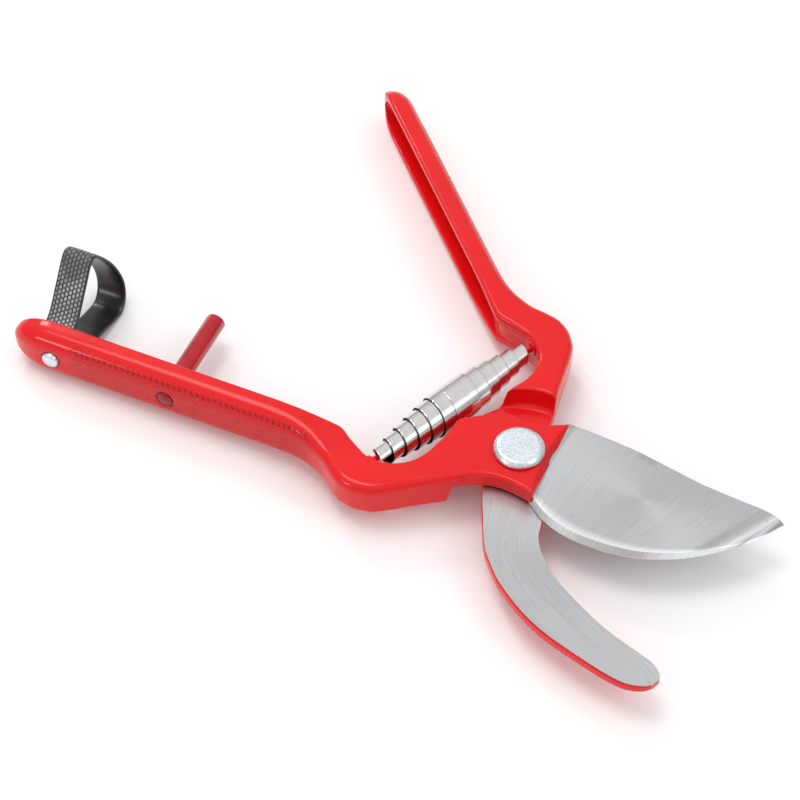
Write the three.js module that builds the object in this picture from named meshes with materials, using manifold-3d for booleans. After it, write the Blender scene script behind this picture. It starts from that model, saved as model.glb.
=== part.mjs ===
// Bypass pruner with pressed-channel handles, a volute spring and a closing strap.
// Millimetres, +Z up. X points from the pivot to the blades and the pivot axis is X = Y = 0.
// Z = 0 is the end of the pivot bolt, the lowest point of the tool.
//
// Each half is drawn lying closed, with its handle straight back along -X on the -Y side and its
// head plate above the shear plane (z = 0 while it is being drawn). The hook half is the same
// forging turned half a turn about X. Both halves are then opened by half the opening angle.

import * as THREE from 'three';
import { mergeVertices } from 'three/addons/utils/BufferGeometryUtils.js';
import Module from 'manifold-3d';

const wasm = await Module();
wasm.setup();

// ---- driving sizes -------------------------------------------------------------------------

const OPENING = THREE.MathUtils.degToRad(47); // angle between the halves when open
const HANDLE_LENGTH = 143.7; // pivot to the end of either handle
const CHANNEL_WIDTH = 15; // height of a handle along Z
const CHANNEL_DEPTH = 7.3; // handle mouth to handle back
const WALL = 2; // wall of the handle channel
const HALF_GAP = 11; // closed: centre line to the mouth of either handle
const ARM_THICKNESS = 11; // arm between handle and head, along Z
const LAP_RADIUS = 19.5; // round step in which the other half's head plate turns
const BLADE_LENGTH = 70; // pivot to blade tip, along X when closed
const BLADE_THICKNESS = 3.6;
const HOOK_LENGTH = 74; // pivot to the end of the hook, along X when closed
const HOOK_THICKNESS = 4.2;
const SHEAR_HEIGHT = 10.5; // shear plane above the end of the bolt
const BOLT_SHANK = 8; // diameter
const BOLT_HEAD = 13.6; // diameter
const STOP_PIN = 5.6; // diameter
const STOP_PIN_PLACE = 95; // stop pin to pivot

// ---- sizes that follow ---------------------------------------------------------------------

const CLEARANCE = 0.15; // left free on each of two facing surfaces
const RUNNING = 0.1; // radial play of the halves on the bolt
const MOUTH = -HALF_GAP;
const BACK = MOUTH - CHANNEL_DEPTH;
const FLOOR = BACK + WALL;
const HALF_WIDTH = CHANNEL_WIDTH / 2;
const HALF_HOLLOW = HALF_WIDTH - WALL;
const PLATE = ARM_THICKNESS / 2; // thickness of a head plate
const BUTT = -HANDLE_LENGTH;
const HUB_RADIUS = BOLT_SHANK / 2 + 5.6; // bare round land of the hook about the bolt
const BOLT_BORE = BOLT_SHANK / 2 + RUNNING; // radius

const BARE_LINE = 8.2; // where paint stops and bare blade starts, ahead of the pivot
const ELBOW_END = -46; // where the channel ends and the arm starts
const STRAP_PLACE = BUTT + 13.7; // middle of the closing strap along the handle
const STRAP_WIDTH = 9;
const STRAP_THICKNESS = 1;
const STRAP_SKEW = -0.25; // the loop's upper limb lies nearer the butt than its lower limb
const RIVET_SHANK = 3; // diameter

// ---- shapes --------------------------------------------------------------------------------

// An outline starts at one point and runs on through lists of points, each list either
// straight from point to point ('line') or one smooth curve through them all ('curve').
function outline(start, ...runs) {
  const shape = new THREE.Shape();
  shape.moveTo(...start);
  for (const [kind, ...points] of runs) {
    if (kind === 'line') points.forEach((p) => shape.lineTo(...p));
    else shape.splineThru(points.map((p) => new THREE.Vector2(...p)));
  }
  return shape;
}

function solid(geometry) {
  geometry.deleteAttribute('normal');
  geometry.deleteAttribute('uv');
  const merged = mergeVertices(geometry, 1e-4);
  return new wasm.Manifold(new wasm.Mesh({
    numProp: 3,
    vertProperties: Float32Array.from(merged.attributes.position.array),
    triVerts: Uint32Array.from(merged.index.array),
  }));
}

// An outline in X and Y made a plate from z0 to z1, its edges rounded off by `round`.
function plate(shape, z0, z1, round = 0, steps = 3) {
  const geometry = new THREE.ExtrudeGeometry(shape, {
    depth: z1 - z0 - 2 * round,
    bevelEnabled: round > 0,
    bevelThickness: round,
    bevelSize: round,
    bevelOffset: -round,
    bevelSegments: 2,
    curveSegments: steps,
  });
  return solid(geometry.translate(0, 0, z0 + round));
}

// An outline in X and Z carried along Y.
function alongY(shape, y0, y1, steps = 6) {
  const geometry = new THREE.ExtrudeGeometry(shape, {
    depth: y1 - y0, bevelEnabled: false, curveSegments: steps,
  });
  return solid(geometry.rotateX(Math.PI / 2).translate(0, y1, 0));
}

// An outline in Y and Z carried along X, its upper parts slid by `skew` per unit of height.
function alongX(shape, x0, x1, skew = 0) {
  const geometry = new THREE.ExtrudeGeometry(shape, {
    depth: x1 - x0, bevelEnabled: false, curveSegments: 4,
  });
  const turn = new THREE.Matrix4().makeBasis(
    new THREE.Vector3(0, 1, 0), new THREE.Vector3(skew, 0, 1), new THREE.Vector3(1, 0, 0),
  );
  return solid(geometry.applyMatrix4(turn).translate(x0, 0, 0));
}

// A round solid about Z from a profile of [radius, height] points listed from the bottom up.
function turned(profile, sides = 32) {
  const geometry = new THREE.LatheGeometry(profile.map((p) => new THREE.Vector2(...p)), sides);
  return solid(geometry.rotateX(Math.PI / 2));
}

function cylinder(radius, z0, z1, sides = 32) {
  return turned([[0, z0], [radius, z0], [radius, z1], [0, z1]], sides);
}

function box(x0, x1, y0, y1, z0, z1) {
  const geometry = new THREE.BoxGeometry(x1 - x0, y1 - y0, z1 - z0);
  return solid(geometry.translate((x0 + x1) / 2, (y0 + y1) / 2, (z0 + z1) / 2));
}

// A solid drawn about Z laid over so that its +Z points along -Y, at a place in the handle.
function intoBack(part, x, y) {
  return part.rotate([90, 0, 0]).translate([x, y, 0]);
}

// ---- the forging both halves share -----------------------------------------------------------

// Edge of the arm and head on the side facing the other handle, from the blade back to the
// channel: blade shoulder, plate corners, then the hollow that holds the end of the spring.
const INNER_EDGE = [
  ['curve', [5, 11.6], [0.5, 10.5], [-8.4, 10.8]],
  ['line', [-18.6, 3.6]],
  ['curve', [-19.3, -1.5], [-21, -9], [-25.5, -15], [-33, -17.4], [-38.5, -15.6], [ELBOW_END, MOUTH]],
];

// The same forging's outer edge, from the channel round the elbow and back to the blade's heel.
const OUTER_EDGE = [
  ['curve', [-47, -22], [-41.5, -26.4], [-36, -28.4], [-30, -27.4], [-23.5, -23.2],
    [-15, -17], [-8.6, -12.2], [-1, -10.2], [BARE_LINE, -11.6]],
];

const SHOULDER = [BARE_LINE + 2, 15];
const HEEL = [BARE_LINE + 1, -12.2];

// Plan of arm and head plate up to a front edge given as a list of runs.
function headPlan(front) {
  return outline(
    SHOULDER, ...INNER_EDGE,
    ['line', [ELBOW_END - 6, MOUTH - 0.5], [ELBOW_END - 14, BACK + 0.8]],
    ...OUTER_EDGE,
    ...front,
  );
}

// Channel handle: rounded back, spoon-shaped butt, hollow open towards the other handle.
function channel() {
  const corner = 3.2;
  const section = outline(
    [MOUTH, -HALF_WIDTH],
    ['line', [MOUTH, HALF_WIDTH], [BACK + corner, HALF_WIDTH]],
    ['curve', [BACK + 0.9, HALF_WIDTH - 0.9], [BACK, HALF_WIDTH - corner]],
    ['line', [BACK, corner - HALF_WIDTH]],
    ['curve', [BACK + 0.9, 0.9 - HALF_WIDTH], [BACK + corner, -HALF_WIDTH]],
  );
  const hollowSection = outline(
    [MOUTH + 5, -HALF_HOLLOW],
    ['line', [MOUTH + 5, HALF_HOLLOW], [FLOOR + 1.4, HALF_HOLLOW], [FLOOR, HALF_HOLLOW - 1.4],
      [FLOOR, 1.4 - HALF_HOLLOW], [FLOOR + 1.4, -HALF_HOLLOW]],
  );
  const shoulder = ELBOW_END - 16;
  const side = outline(
    [ELBOW_END + 1, -PLATE],
    ['line', [ELBOW_END + 1, PLATE], [shoulder, HALF_WIDTH], [BUTT + 16, HALF_WIDTH]],
    ['curve', [BUTT + 6.5, HALF_WIDTH * 0.8], [BUTT + 1.4, HALF_WIDTH * 0.42], [BUTT, 0],
      [BUTT + 1.4, -HALF_WIDTH * 0.42], [BUTT + 6.5, -HALF_WIDTH * 0.8], [BUTT + 16, -HALF_WIDTH]],
    ['line', [shoulder, -HALF_WIDTH]],
  );
  const hollowSide = outline(
    [ELBOW_END - 7, -HALF_HOLLOW + 2],
    ['line', [ELBOW_END - 7, HALF_HOLLOW - 2], [ELBOW_END - 11, HALF_HOLLOW],
      [BUTT + 12, HALF_HOLLOW]],
    ['curve', [BUTT + 6.5, HALF_HOLLOW * 0.86], [BUTT + 4, HALF_HOLLOW * 0.45], [BUTT + 3.4, 0],
      [BUTT + 4, -HALF_HOLLOW * 0.45], [BUTT + 6.5, -HALF_HOLLOW * 0.86], [BUTT + 12, -HALF_HOLLOW]],
    ['line', [ELBOW_END - 11, -HALF_HOLLOW]],
  );
  const plan = outline(
    [ELBOW_END + 1, MOUTH - 0.3],
    ['line', [ELBOW_END - 4, MOUTH], [BUTT + 12, MOUTH]],
    ['curve', [BUTT + 4, MOUTH - 0.7], [BUTT, MOUTH - CHANNEL_DEPTH * 0.42],
      [BUTT + 3.5, BACK + 1.6], [BUTT + 13, BACK]],
    ['line', [ELBOW_END + 1, BACK]],
  );
  const hollowPlan = outline(
    [ELBOW_END, MOUTH + 5],
    ['line', [BUTT + 3, MOUTH + 5], [BUTT + 3, MOUTH - 1.5]],
    ['curve', [BUTT + 4.4, FLOOR + 1.8], [BUTT + 7, FLOOR]],
    ['line', [ELBOW_END, FLOOR]],
  );
  const outside = alongX(section, BUTT - 1, ELBOW_END + 2)
    .intersect(plate(plan, -HALF_WIDTH - 1, HALF_WIDTH + 1))
    .intersect(alongY(side, BACK - 1, MOUTH + 1, 3));
  const hollow = alongX(hollowSection, BUTT - 1, ELBOW_END)
    .intersect(plate(hollowPlan, -HALF_WIDTH, HALF_WIDTH))
    .intersect(alongY(hollowSide, BACK - 1, MOUTH + 6, 3));
  return outside.subtract(hollow);
}

// Arm, head plate and channel in one, with the round step below the plate cut free.
function forging(plan) {
  const lap = cylinder(LAP_RADIUS + 2 * CLEARANCE, -PLATE - 3, CLEARANCE, 48)
    .add(box(0, 2 * LAP_RADIUS, -LAP_RADIUS, LAP_RADIUS, -PLATE - 3, CLEARANCE));
  return plate(plan, -PLATE, PLATE, 1)
    .subtract(lap)
    .add(channel())
    .subtract(cylinder(BOLT_BORE, -PLATE - 3, PLATE + 1));
}

// ---- spring seats ----------------------------------------------------------------------------

const SEAT_PLACE = [-34.2, -16.4]; // where the spring's end ring bears, half drawn closed
const SEAT_LEAN = OPENING / 4; // halfway between the spring's lean when open and when closed
const SEAT_TAIL = 1.5; // radius
const SEAT_COLLAR = 2.4;
const SEAT_RISE = 2.2; // seats lie this far above the shear plane

// Pip that centres the end of the spring, on a collar, with a tail set into the arm.
function springSeat() {
  return turned([
    [0, -4.5], [SEAT_TAIL, -4.5], [SEAT_TAIL, -1.1], [SEAT_COLLAR, -1.1], [SEAT_COLLAR, -0.2],
    [1.2, -0.2], [0.9, 1.6], [0.5, 2], [0, 2],
  ], 20);
}

function seatSocket() {
  return turned([
    [0, -5], [SEAT_TAIL + CLEARANCE, -5], [SEAT_TAIL + CLEARANCE, -1.3],
    [SEAT_COLLAR + 2 * CLEARANCE, -1.3], [SEAT_COLLAR + 2 * CLEARANCE, 6], [0, 6],
  ], 20);
}

function atSeat(part, rise = SEAT_RISE) {
  return part.rotate([-90, 0, 0]).rotate([0, 0, -THREE.MathUtils.radToDeg(SEAT_LEAN)])
    .translate([...SEAT_PLACE, rise]);
}

// ---- blade half ------------------------------------------------------------------------------

// Distance along the blade or hook as a share of its bare length.
function along(length, share) {
  return BARE_LINE + share * (length - BARE_LINE);
}

function bladePlan(spineOut) {
  const at = (share) => along(BLADE_LENGTH, share);
  return outline(
    [at(-0.2), HEEL[1]],
    ['line', [at(0.01), HEEL[1]]],
    ['curve', [at(0.1), -15.9], [at(0.25), -17.8], [at(0.42), -17.4], [at(0.58), -14.6],
      [at(0.74), -9], [at(0.91), 0.6], [at(1), 8.5]],
    ['line', [at(1), 8.5 + spineOut]],
    ['curve', [at(0.63), 10.2 + spineOut], [at(0.33), 13.6 + spineOut],
      [SHOULDER[0], SHOULDER[1] + spineOut]],
    ['line', [at(-0.2), SHOULDER[1] + spineOut]],
  );
}

// The line where the paint stops, as a wall to cut along; it bows slightly forward.
function bareWall(offset) {
  return plate(outline(
    [2 * BUTT, 30],
    ['line', [SHOULDER[0] + offset, 30], [SHOULDER[0] + offset, SHOULDER[1] - 1]],
    ['curve', [BARE_LINE + offset, 11], [BARE_LINE - 0.6 + offset, 0],
      [BARE_LINE + offset, -13]],
    ['line', [BARE_LINE + offset, -2 * HALF_GAP - 30], [2 * BUTT, -2 * HALF_GAP - 30]],
  ), -CHANNEL_WIDTH, CHANNEL_WIDTH, 0, 4);
}

function cuttingBlade() {
  const grind = new THREE.ExtrudeGeometry(bladePlan(4), {
    depth: 4,
    bevelEnabled: true,
    bevelThickness: BLADE_THICKNESS - 0.5,
    bevelSize: 2.2,
    bevelOffset: -2.2,
    bevelSegments: 1,
    curveSegments: 4,
  });
  return plate(bladePlan(0), CLEARANCE, BLADE_THICKNESS, 0, 4)
    .intersect(solid(grind.translate(0, 0, -3.5)))
    .subtract(bareWall(CLEARANCE));
}

const RIVET_HEAD = 2.5; // radius
const RIVET_RISE = 1.2; // domed head above the back of the handle
const PIN_TAIL = 2.2; // radius
const PIN_RISE = 0.6; // its domed end above the back of the handle

function bladeHandle() {
  const front = [['line', [BARE_LINE + 7, HEEL[1]], [BARE_LINE + 7, SHOULDER[1]]]];
  const rivetHole = turned([
    [0, -WALL - 1], [RIVET_SHANK / 2 + CLEARANCE, -WALL - 1], [RIVET_SHANK / 2 + CLEARANCE, -0.9],
    [RIVET_HEAD + CLEARANCE, -0.9], [RIVET_HEAD + CLEARANCE, 2], [0, 2],
  ], 24);
  return forging(headPlan(front))
    .intersect(bareWall(-CLEARANCE))
    .subtract(atSeat(seatSocket()))
    .subtract(intoBack(rivetHole, STRAP_PLACE, BACK))
    .subtract(intoBack(cylinder(PIN_TAIL + CLEARANCE, -WALL - 1, 1, 24), -STOP_PIN_PLACE, BACK));
}

// ---- hook half (drawn like the blade half, then turned over) -----------------------------------

function hookPlan() {
  const at = (share) => along(HOOK_LENGTH, share);
  return outline(
    [-8.4, 10.8],
    ['line', [-16, 6.8], [-16, -17]],
    ['curve', [-8.6, -12.2], [-2, -10.6], [5, -7.6], [at(0.12), -1.6], [at(0.25), 3.9], [at(0.37), 4.6],
      [at(0.52), 2.8], [at(0.69), -1.1], [at(0.82), -5.5], [at(0.92), -8.9], [at(0.965), -9.2],
      [at(1), -6], [at(0.98), -1.8], [at(0.92), 2.4], [at(0.79), 8], [at(0.63), 13.9],
      [at(0.44), 17.7], [at(0.25), 18.3], [at(0.1), 15.6], [4, 11.6]],
  );
}

// Everything of the hook half that carries the ground, bare face: the land round the bolt and
// all that lies ahead of it.
function bareLand(offset) {
  return cylinder(HUB_RADIUS + offset, -PLATE - 2, PLATE + 2, 40)
    .add(box(1 - offset, HOOK_LENGTH * 1.5, -60, 60, -PLATE - 2, PLATE + 2));
}

// Hook: full plate thickness round the bolt, thinner ahead, its far face rounded to the rims.
function hookBlade() {
  const hub = plate(hookPlan(), -PLATE, PLATE, 1)
    .intersect(cylinder(HUB_RADIUS + 2, CLEARANCE, PLATE + 1, 40));
  const rim = 2.6;
  const hook = new THREE.ExtrudeGeometry(hookPlan(), {
    depth: 4,
    bevelEnabled: true,
    bevelThickness: rim,
    bevelSize: 1.3,
    bevelOffset: -1.3,
    bevelSegments: 2,
    curveSegments: 3,
  });
  return solid(hook.translate(0, 0, HOOK_THICKNESS - rim - 4))
    .intersect(box(-30, HOOK_LENGTH * 1.5, -40, 40, CLEARANCE, PLATE + 1))
    .add(hub)
    .intersect(bareLand(0))
    .subtract(cylinder(BOLT_BORE, -PLATE - 3, PLATE + 1));
}

function hookHandle() {
  const front = [['line', [BARE_LINE + 7, HEEL[1]], [BARE_LINE + 7, SHOULDER[1]]]];
  return forging(headPlan(front))
    .subtract(bareLand(2 * CLEARANCE))
    .subtract(atSeat(seatSocket(), -SEAT_RISE));
}

// ---- fittings ----------------------------------------------------------------------------------

// Pivot bolt: low flat head with a chamfered rim, plain shank, end at z = 0.
function pivotBolt() {
  const under = SHEAR_HEIGHT + PLATE + CLEARANCE;
  const top = under + 2.1;
  const r = BOLT_HEAD / 2;
  const shank = BOLT_SHANK / 2;
  return turned([
    [0, 0], [shank - 0.7, 0], [shank, 0.7], [shank, under], [r - 0.3, under], [r, under + 0.4],
    [r, under + 1.1], [r - 1, top], [0, top],
  ], 40);
}

const WASHER_THICKNESS = 0.9;
const NUT_HEIGHT = 3.2;

function pivotWasher() {
  const top = SHEAR_HEIGHT - PLATE - CLEARANCE;
  return cylinder(BOLT_SHANK / 2 + 2.6, top - WASHER_THICKNESS, top, 36)
    .subtract(cylinder(BOLT_SHANK / 2 + 2 * CLEARANCE, 0, SHEAR_HEIGHT, 32));
}

function pivotNut() {
  const top = SHEAR_HEIGHT - PLATE - 2 * CLEARANCE - WASHER_THICKNESS;
  const corner = (BOLT_SHANK / 2 + 2.5) / Math.cos(Math.PI / 6);
  const chamfer = turned([
    [0, top - NUT_HEIGHT], [corner - 0.9, top - NUT_HEIGHT], [corner + 0.1, top - NUT_HEIGHT + 0.7],
    [corner + 0.1, top], [0, top],
  ], 36);
  return solid(new THREE.CylinderGeometry(corner, corner, NUT_HEIGHT, 6)
    .rotateX(Math.PI / 2).translate(0, 0, top - NUT_HEIGHT / 2))
    .intersect(chamfer)
    .subtract(cylinder(BOLT_SHANK / 2 + CLEARANCE, -1, SHEAR_HEIGHT, 32));
}

// Stop pin: painted rod standing on the channel floor, its thinner tail riveted in the back.
const PIN_REACH = HALF_GAP + 1.7; // end of the pin beyond the centre line, closed

function stopPin() {
  const r = STOP_PIN / 2;
  const foot = -(PIN_REACH - FLOOR) + CLEARANCE;
  const back = -(PIN_REACH - BACK);
  return turned([
    [0, back - PIN_RISE], [PIN_TAIL * 0.73, back - PIN_RISE * 0.4], [PIN_TAIL, back + 0.2],
    [PIN_TAIL, foot], [r, foot], [r, -0.5], [r - 0.5, 0], [0, 0],
  ], 28).rotate([-90, 0, 0]).translate([-STOP_PIN_PLACE, PIN_REACH, 0]);
}

// Closing strap: one band of leather doubled into a loop. Its ends lie flat on the channel floor
// and the loop stands out of the channel mouth, higher on the upper side.
const BAND = [
  [FLOOR + 1, 2.6], [FLOOR + 2.4, 3.9], [MOUTH, 4.3], [MOUTH + 4, 5.6], [0, 10.2],
  [6, 14.2], [8.6, 14.6], [10.8, 12.6], [14, 7], [15.3, 0.5], [13.6, -4.2], [10, -6.6],
  [5, -6.2], [0, -5.2], [MOUTH + 4, -4.5], [MOUTH, -4.3], [FLOOR + 2.4, -3.9], [FLOOR + 1, -2.6],
];

function bandOutline(offset) {
  const path = new THREE.CatmullRomCurve3(
    BAND.map(([y, z]) => new THREE.Vector3(y, z, 0)), true, 'centripetal',
  );
  const steps = 56;
  const points = [];
  for (let i = 0; i < steps; i += 1) {
    const p = path.getPoint(i / steps);
    const t = path.getTangent(i / steps);
    points.push(new THREE.Vector2(p.x - t.y * offset, p.y + t.x * offset));
  }
  return points;
}

function closingStrap() {
  const outside = new THREE.Shape(bandOutline(STRAP_THICKNESS / 2));
  const inside = new THREE.Shape(bandOutline(-STRAP_THICKNESS / 2));
  const near = STRAP_PLACE - STRAP_WIDTH / 2;
  const hole = cylinder(RIVET_SHANK / 2 + CLEARANCE, -6, 6, 24);
  return alongX(outside, near, near + STRAP_WIDTH, STRAP_SKEW)
    .subtract(alongX(inside, near - 1, near + STRAP_WIDTH + 1, STRAP_SKEW))
    .subtract(intoBack(hole, STRAP_PLACE, FLOOR));
}

// Strap rivet: head let into the back of the handle, shank through wall and strap ends.
function strapRivet() {
  const shank = RIVET_SHANK / 2;
  const reach = WALL + STRAP_THICKNESS + 2.2;
  return intoBack(turned([
    [0, -reach - 0.4], [shank + 0.5, -reach - 0.4], [shank + 0.7, -reach], [shank, -reach],
    [shank, -0.7], [RIVET_HEAD, -0.7], [RIVET_HEAD - 0.05, RIVET_RISE * 0.25],
    [RIVET_HEAD - 0.3, RIVET_RISE * 0.62], [RIVET_HEAD - 0.9, RIVET_RISE * 0.88], [0, RIVET_RISE],
  ], 28), STRAP_PLACE, BACK);
}

function strapRivetWasher() {
  return intoBack(
    cylinder(3, -0.3, 0.3, 28).subtract(cylinder(RIVET_SHANK / 2 + CLEARANCE, -1, 1, 24)),
    STRAP_PLACE, FLOOR + STRAP_THICKNESS + 1.4,
  );
}

// Volute spring: two coiled strips set big end to big end, each turn sliding into the next.
// Here every turn is one plain ring of a stepped barrel lying along Y between the two seats.
const TURN_RADII = [2.2, 3.4, 4.5, 5.1, 5.5, 5.8];
const STRIP = 0.5;

function voluteSpring() {
  const seat = new THREE.Vector2(...SEAT_PLACE).rotateAround(new THREE.Vector2(), OPENING / 2);
  const half = -seat.y - 4 * CLEARANCE;
  const turn = half / TURN_RADII.length;
  const outside = [];
  TURN_RADII.forEach((r, i) => outside.push([r, i * turn - half], [r, (i + 1) * turn - half]));
  const inside = outside.map(([r, h], i) => [r - STRIP, i > 0 ? h + STRIP : h]);
  const mirrored = (list) => list.slice(0, -1).reverse().map(([r, h]) => [r, -h]);
  const profile = [
    ...outside.slice(0, -1), ...mirrored(outside),
    ...[...inside.slice(0, -1), ...mirrored(inside)].reverse(),
    outside[0],
  ];
  return turned(profile, 28).rotate([-90, 0, 0]).translate([seat.x, 0, 0]);
}

// ---- assembly ------------------------------------------------------------------------------------

const HALF_OPEN = THREE.MathUtils.radToDeg(OPENING / 2);

// A part of the blade half, or one riding on it, opened and lifted to its height.
const onBladeHalf = (part) => part.rotate([0, 0, HALF_OPEN]).translate([0, 0, SHEAR_HEIGHT]);

// A part of the hook half: turned over about X, opened the other way and lifted.
const onHookHalf = (part) => part.rotate([180, 0, 0]).rotate([0, 0, -HALF_OPEN])
  .translate([0, 0, SHEAR_HEIGHT]);

const group = new THREE.Group();
group.name = 'bypass_pruner';

function add(name, part, colour, roughness, metalness) {
  const mesh = part.getMesh();
  const geometry = new THREE.BufferGeometry();
  geometry.setAttribute('position', new THREE.BufferAttribute(mesh.vertProperties, 3));
  geometry.setIndex(new THREE.BufferAttribute(mesh.triVerts, 1));
  geometry.computeVertexNormals();
  const material = new THREE.MeshStandardMaterial({ color: colour, roughness, metalness });
  material.name = name;
  const node = new THREE.Mesh(geometry, material);
  node.name = name;
  group.add(node);
}

const PAINT = 0xe01b22;
const GROUND_STEEL = 0xa9acae;
const ZINC = 0xb9c2c8;
const SPRING_STEEL = 0xc4c4c6;

add('cutting_blade', onBladeHalf(cuttingBlade()), GROUND_STEEL, 0.35, 1);
add('blade_handle', onBladeHalf(bladeHandle()), PAINT, 0.28, 0);
add('hook_blade', onHookHalf(hookBlade()), GROUND_STEEL, 0.38, 1);
add('hook_handle', onHookHalf(hookHandle()), PAINT, 0.28, 0);
add('pivot_bolt', pivotBolt(), ZINC, 0.4, 1);
add('pivot_washer', pivotWasher(), ZINC, 0.45, 1);
add('pivot_nut', pivotNut(), ZINC, 0.45, 1);
add('volute_spring', voluteSpring().translate([0, 0, SHEAR_HEIGHT + SEAT_RISE]), SPRING_STEEL, 0.18, 1);
add('spring_seat_blade_side', onBladeHalf(atSeat(springSeat())), PAINT, 0.3, 0);
add('spring_seat_hook_side', onHookHalf(atSeat(springSeat(), -SEAT_RISE)), PAINT, 0.3, 0);
add('closing_strap', onBladeHalf(closingStrap()), 0x17171a, 0.35, 0);
add('strap_rivet', onBladeHalf(strapRivet()), ZINC, 0.35, 1);
add('strap_rivet_washer', onBladeHalf(strapRivetWasher()), ZINC, 0.45, 1);
add('stop_pin', onBladeHalf(stopPin()), 0xb3161d, 0.3, 0);

export default group;
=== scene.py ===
"""Looks of the bypass pruner: two painted forgings, their ground faces, pivot, spring and strap.

The two halves are drawn lying closed, in millimetres, with the handle along -X and the head
plate above the shear plane, and then opened about the pivot as the frame has them.
"""

import math

import bmesh
import bpy
import numpy as np
from mathutils import Matrix, Vector


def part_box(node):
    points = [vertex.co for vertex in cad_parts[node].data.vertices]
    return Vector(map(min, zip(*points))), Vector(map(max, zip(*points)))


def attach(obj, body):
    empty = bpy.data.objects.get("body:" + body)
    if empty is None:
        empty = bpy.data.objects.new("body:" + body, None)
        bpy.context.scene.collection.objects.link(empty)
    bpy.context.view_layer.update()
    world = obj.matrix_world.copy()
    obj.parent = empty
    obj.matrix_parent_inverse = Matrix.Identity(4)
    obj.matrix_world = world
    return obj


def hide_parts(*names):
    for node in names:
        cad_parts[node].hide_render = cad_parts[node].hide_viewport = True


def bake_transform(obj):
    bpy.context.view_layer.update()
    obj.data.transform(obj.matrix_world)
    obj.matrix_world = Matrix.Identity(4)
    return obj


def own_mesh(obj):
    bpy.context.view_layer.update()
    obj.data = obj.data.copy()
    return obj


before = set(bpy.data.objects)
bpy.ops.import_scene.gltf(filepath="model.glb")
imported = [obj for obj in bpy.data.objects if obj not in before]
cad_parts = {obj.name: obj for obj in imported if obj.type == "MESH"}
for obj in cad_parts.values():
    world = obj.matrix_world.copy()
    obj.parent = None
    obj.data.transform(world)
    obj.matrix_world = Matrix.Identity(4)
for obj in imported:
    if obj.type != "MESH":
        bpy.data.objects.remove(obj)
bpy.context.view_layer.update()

bl_info = {
    "name": "Bypass pruner",
    "version": (1, 0, 0),
    "blender": (4, 5, 0),
    "location": "View3D > Sidebar > Pruner",
    "description": "Builds the painted, ground and sprung pieces of a bypass pruner",
    "category": "Object",
}

MM = 0.001
HALF_OPEN = math.radians(23.5)  # each half is opened this much from closed
SHEAR_HEIGHT = 10.5
_, BOLT_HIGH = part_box("pivot_bolt")
HEAD_RADIUS = BOLT_HIGH.x / MM
HEAD_TOP = BOLT_HIGH.z / MM

MOUTH = -11.0  # mouth edge of the channel handle
BACK = -18.3  # back of the channel handle
FLOOR = BACK + 2.0
BUTT = -143.7
STRAP_PLACE = BUTT + 13.7
STRAP_SKEW = -0.25  # how far the strap slides along the handle for each step up
STOP_PIN_PLACE = -95.0
WELLS = [(STRAP_PLACE, 2.75), (STOP_PIN_PLACE, 2.6)]  # place and radius, round rivet and pin
WELL_DEPTH = 0.45
KNURL_START, KNURL_END = -125.0, -49.0  # the knurled length of a handle
KNURL_REACH = 6.6  # how far it goes round the section from the middle of the back
TIP_TOP = 0.5  # height of the blade's top face above the shear plane where it has no width
TOP_GAIN = 3.1  # how much higher the top face is where the blade has its full width
FULL_BLADE_WIDTH = 24.0
SEAT_PLACE = (-34.2, -16.4)
SEAT_LEAN = math.radians(11.75)
SEAT_RISE = 2.2
SPRING_PLACE = (-24.8, 0.0, SHEAR_HEIGHT + SEAT_RISE)
SPRING_HALF = 28.0


# ---- places ------------------------------------------------------------------------------------


def turned_about_pivot(points, angle):
    """Points turned about the pivot axis by an angle, then lifted to the shear plane."""
    c, s = math.cos(angle), math.sin(angle)
    x, y, z = points[..., 0], points[..., 1], points[..., 2]
    return np.stack([c * x - s * y, s * x + c * y, z + SHEAR_HEIGHT], -1)


def in_frame(points):
    """Points that are drawn where the frame has them."""
    return points


def on_blade_half(points):
    """The blade half as drawn, opened about the pivot."""
    return turned_about_pivot(points, HALF_OPEN)


def on_hook_half(points):
    """The hook half is the same drawing turned half a turn about X, opened the other way."""
    return turned_about_pivot(points * np.array([1, -1, -1]), -HALF_OPEN)


# ---- surfaces ----------------------------------------------------------------------------------


def smooth_through(stations, steps):
    """Rows of numbers carried smoothly through stations that are rows of numbers.

    Between two stations every column follows the cubic that has the stations' values and
    slopes, each slope being the harmonic mean of the two neighbouring rises, or nothing where
    they differ in sign, so that no column overshoots. A run is the distance between the middles
    of the two stations' inner and outer points, which are columns 0 to 3.
    """
    rows = np.array(stations, float)
    run = np.linalg.norm(np.diff((rows[:, 0:2] + rows[:, 2:4]) / 2, axis=0), axis=1)
    rise = np.diff(rows, axis=0) / run[:, None]
    product = rise[1:] * rise[:-1]
    mean = 2 * product / np.where(product > 0, rise[1:] + rise[:-1], 1)
    slope = np.vstack([rise[:1], np.where(product > 0, mean, 0), rise[-1:]])
    t = (np.arange(steps) / steps)[None, :, None]
    y0, y1 = rows[:-1, None], rows[1:, None]
    m0, m1 = slope[:-1, None] * run[:, None, None], slope[1:, None] * run[:, None, None]
    curve = ((2 * t**3 - 3 * t**2 + 1) * y0 + (t**3 - 2 * t**2 + t) * m0
             + (3 * t**2 - 2 * t**3) * y1 + (t**3 - t**2) * m1)
    return np.vstack([curve.reshape(-1, rows.shape[1]), rows[-1:]])


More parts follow.
